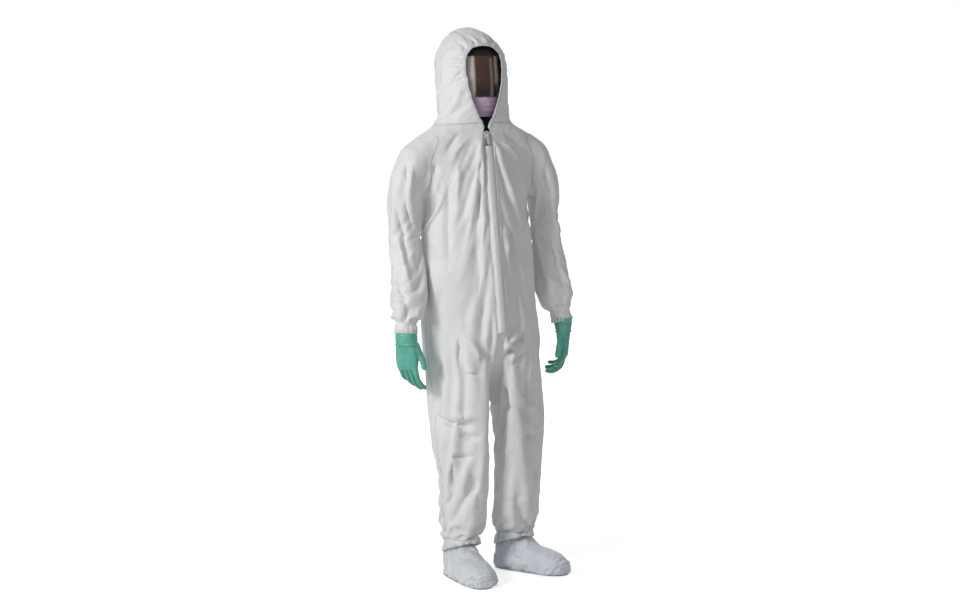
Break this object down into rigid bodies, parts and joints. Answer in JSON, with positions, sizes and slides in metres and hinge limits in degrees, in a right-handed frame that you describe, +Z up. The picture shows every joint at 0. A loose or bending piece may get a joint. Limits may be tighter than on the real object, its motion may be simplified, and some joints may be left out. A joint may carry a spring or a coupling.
{
  "type": "chemical protective suit",
  "caption": "Hooded coverall with face shield, mask, gloves and boot covers, standing as worn; hood, limbs, zip slider, pull tab and storm flap move.",
  "frame": {"origin": "on the floor, under the middle of the suit's bounding box", "axes": "+Z up, -Y out of the chest (the way the suit faces), +X to the wearer's left"},
  "size_m": [0.664, 0.3477, 1.8],
  "materials": {
    "fabric": "matte film-laminated nonwoven",
    "boot_fabric": "matte nonwoven",
    "sole": "matte dotted",
    "elastic": "matte",
    "zip_tape": "woven",
    "zip_coil": "satin",
    "metal": "satin",
    "nitrile": "satin",
    "knit": "matte knit",
    "foam": "matte foam",
    "black_plastic": "satin",
    "mask_cloth": "matte nonwoven",
    "lens": "clear tinted"
  },
  "bodies": {
    "torso": {"front_panel_left": "fabric", "front_panel_right": "fabric", "back_panel": "fabric", "seat_panel": "fabric", "waist_elastic": "elastic", "crotch_gusset": "fabric", "zip_tape_left": "zip_tape", "zip_tape_right": "zip_tape", "zip_coil_left": "zip_coil", "zip_coil_right": "zip_coil", "zip_top_stop_left": "metal", "zip_top_stop_right": "metal", "zip_bottom_stop": "metal"},
    "neck": {"neck_panel": "fabric"},
    "hood": {"hood_centre_panel": "fabric", "hood_side_left": "fabric", "hood_side_right": "fabric", "face_elastic": "elastic", "inner_hood": "knit", "visor_lens": "lens", "brow_band": "black_plastic", "brow_foam": "foam", "head_strap": "elastic", "face_mask": "mask_cloth", "mask_nose_clip": "metal", "mask_ear_loop_left": "mask_cloth", "mask_ear_loop_right": "mask_cloth"},
    "zip_slider": {"zip_slider": "metal"},
    "zip_pull": {"zip_pull_tab": "metal"},
    "storm_flap": {"storm_flap": "fabric", "flap_adhesive_strip": "elastic"},
    "upper_arm_left": {"upper_sleeve_left": "fabric"},
    "forearm_left": {"lower_sleeve_left": "fabric", "wrist_elastic_left": "elastic"},
    "hand_left": {"glove_left": "nitrile", "glove_cuff_bead_left": "nitrile"},
    "thigh_left": {"upper_leg_left": "fabric"},
    "shin_left": {"lower_leg_left": "fabric", "ankle_elastic_left": "elastic"},
    "foot_left": {"boot_cover_left": "boot_fabric", "boot_sole_left": "sole", "boot_elastic_left": "elastic"},
    "upper_arm_right": {"upper_sleeve_right": "fabric"},
    "forearm_right": {"lower_sleeve_right": "fabric", "wrist_elastic_right": "elastic"},
    "hand_right": {"glove_right": "nitrile", "glove_cuff_bead_right": "nitrile"},
    "thigh_right": {"upper_leg_right": "fabric"},
    "shin_right": {"lower_leg_right": "fabric", "ankle_elastic_right": "elastic"},
    "foot_right": {"boot_cover_right": "boot_fabric", "boot_sole_right": "sole", "boot_elastic_right": "elastic"}
  },
  "joints": [
    {"name": "hood_turn", "type": "hinge", "parent": "torso", "child": "neck", "pos_m": [0, 0.0558, 1.478], "axis": [0, 0, 1], "range_deg": [-35, 35], "stiffness_Nm_per_rad": 2},
    {"name": "hood_nod", "type": "hinge", "parent": "neck", "child": "hood", "pos_m": [0, 0.0558, 1.6], "axis": [1, 0, 0], "range_deg": [-15, 20], "stiffness_Nm_per_rad": 4},
    {"name": "zip_slide", "type": "slide", "parent": "torso", "child": "zip_slider", "axis": [0, -0.1047, -0.9945], "range_m": [0, 0.605]},
    {"name": "pull_swing", "type": "hinge", "parent": "zip_slider", "child": "zip_pull", "pos_m": [0, -0.06598, 1.44214], "axis": [1, 0, 0], "range_deg": [-150, 0], "stiffness_Nm_per_rad": 0.004},
    {"name": "flap_open", "type": "hinge", "parent": "torso", "child": "storm_flap", "pos_m": [-0.025, -0.09181, 1.15677], "axis": [0, 0.1047, 0.9945], "range_deg": [-115, 0], "stiffness_Nm_per_rad": 0.05},
    {"name": "shoulder_left", "type": "hinge", "parent": "torso", "child": "upper_arm_left", "pos_m": [0.1895, 0.0408, 1.375], "axis": [-1, 0, 0], "range_deg": [-35, 110], "stiffness_Nm_per_rad": 3},
    {"name": "elbow_left", "type": "hinge", "parent": "upper_arm_left", "child": "forearm_left", "pos_m": [0.256, 0.0458, 1.11], "axis": [-1, 0, 0], "range_deg": [0, 90], "stiffness_Nm_per_rad": 2},
    {"name": "wrist_left", "type": "hinge", "parent": "forearm_left", "child": "hand_left", "pos_m": [0.283, -0.0062, 0.812], "axis": [-1, 0, 0], "range_deg": [-40, 40], "stiffness_Nm_per_rad": 0.6},
    {"name": "hip_left", "type": "hinge", "parent": "torso", "child": "thigh_left", "pos_m": [0.106, 0.0358, 0.88], "axis": [-1, 0, 0], "range_deg": [-15, 70], "stiffness_Nm_per_rad": 20},
    {"name": "knee_left", "type": "hinge", "parent": "thigh_left", "child": "shin_left", "pos_m": [0.107, 0.0258, 0.492], "axis": [1, 0, 0], "range_deg": [0, 90], "stiffness_Nm_per_rad": 15},
    {"name": "ankle_left", "type": "hinge", "parent": "shin_left", "child": "foot_left", "pos_m": [0.098, 0.0508, 0.095], "axis": [1, 0, 0], "range_deg": [-15, 30], "stiffness_Nm_per_rad": 20},
    {"name": "shoulder_right", "type": "hinge", "parent": "torso", "child": "upper_arm_right", "pos_m": [-0.1895, 0.0408, 1.375], "axis": [-1, 0, 0], "range_deg": [-35, 110], "stiffness_Nm_per_rad": 3},
    {"name": "elbow_right", "type": "hinge", "parent": "upper_arm_right", "child": "forearm_right", "pos_m": [-0.256, 0.0458, 1.11], "axis": [-1, 0, 0], "range_deg": [0, 90], "stiffness_Nm_per_rad": 2},
    {"name": "wrist_right", "type": "hinge", "parent": "forearm_right", "child": "hand_right", "pos_m": [-0.283, -0.0062, 0.812], "axis": [-1, 0, 0], "range_deg": [-40, 40], "stiffness_Nm_per_rad": 0.6},
    {"name": "hip_right", "type": "hinge", "parent": "torso", "child": "thigh_right", "pos_m": [-0.106, 0.0358, 0.88], "axis": [-1, 0, 0], "range_deg": [-15, 70], "stiffness_Nm_per_rad": 20},
    {"name": "knee_right", "type": "hinge", "parent": "thigh_right", "child": "shin_right", "pos_m": [-0.107, 0.0258, 0.492], "axis": [1, 0, 0], "range_deg": [0, 90], "stiffness_Nm_per_rad": 15},
    {"name": "ankle_right", "type": "hinge", "parent": "shin_right", "child": "foot_right", "pos_m": [-0.098, 0.0508, 0.095], "axis": [1, 0, 0], "range_deg": [-15, 30], "stiffness_Nm_per_rad": 20}
  ]
}
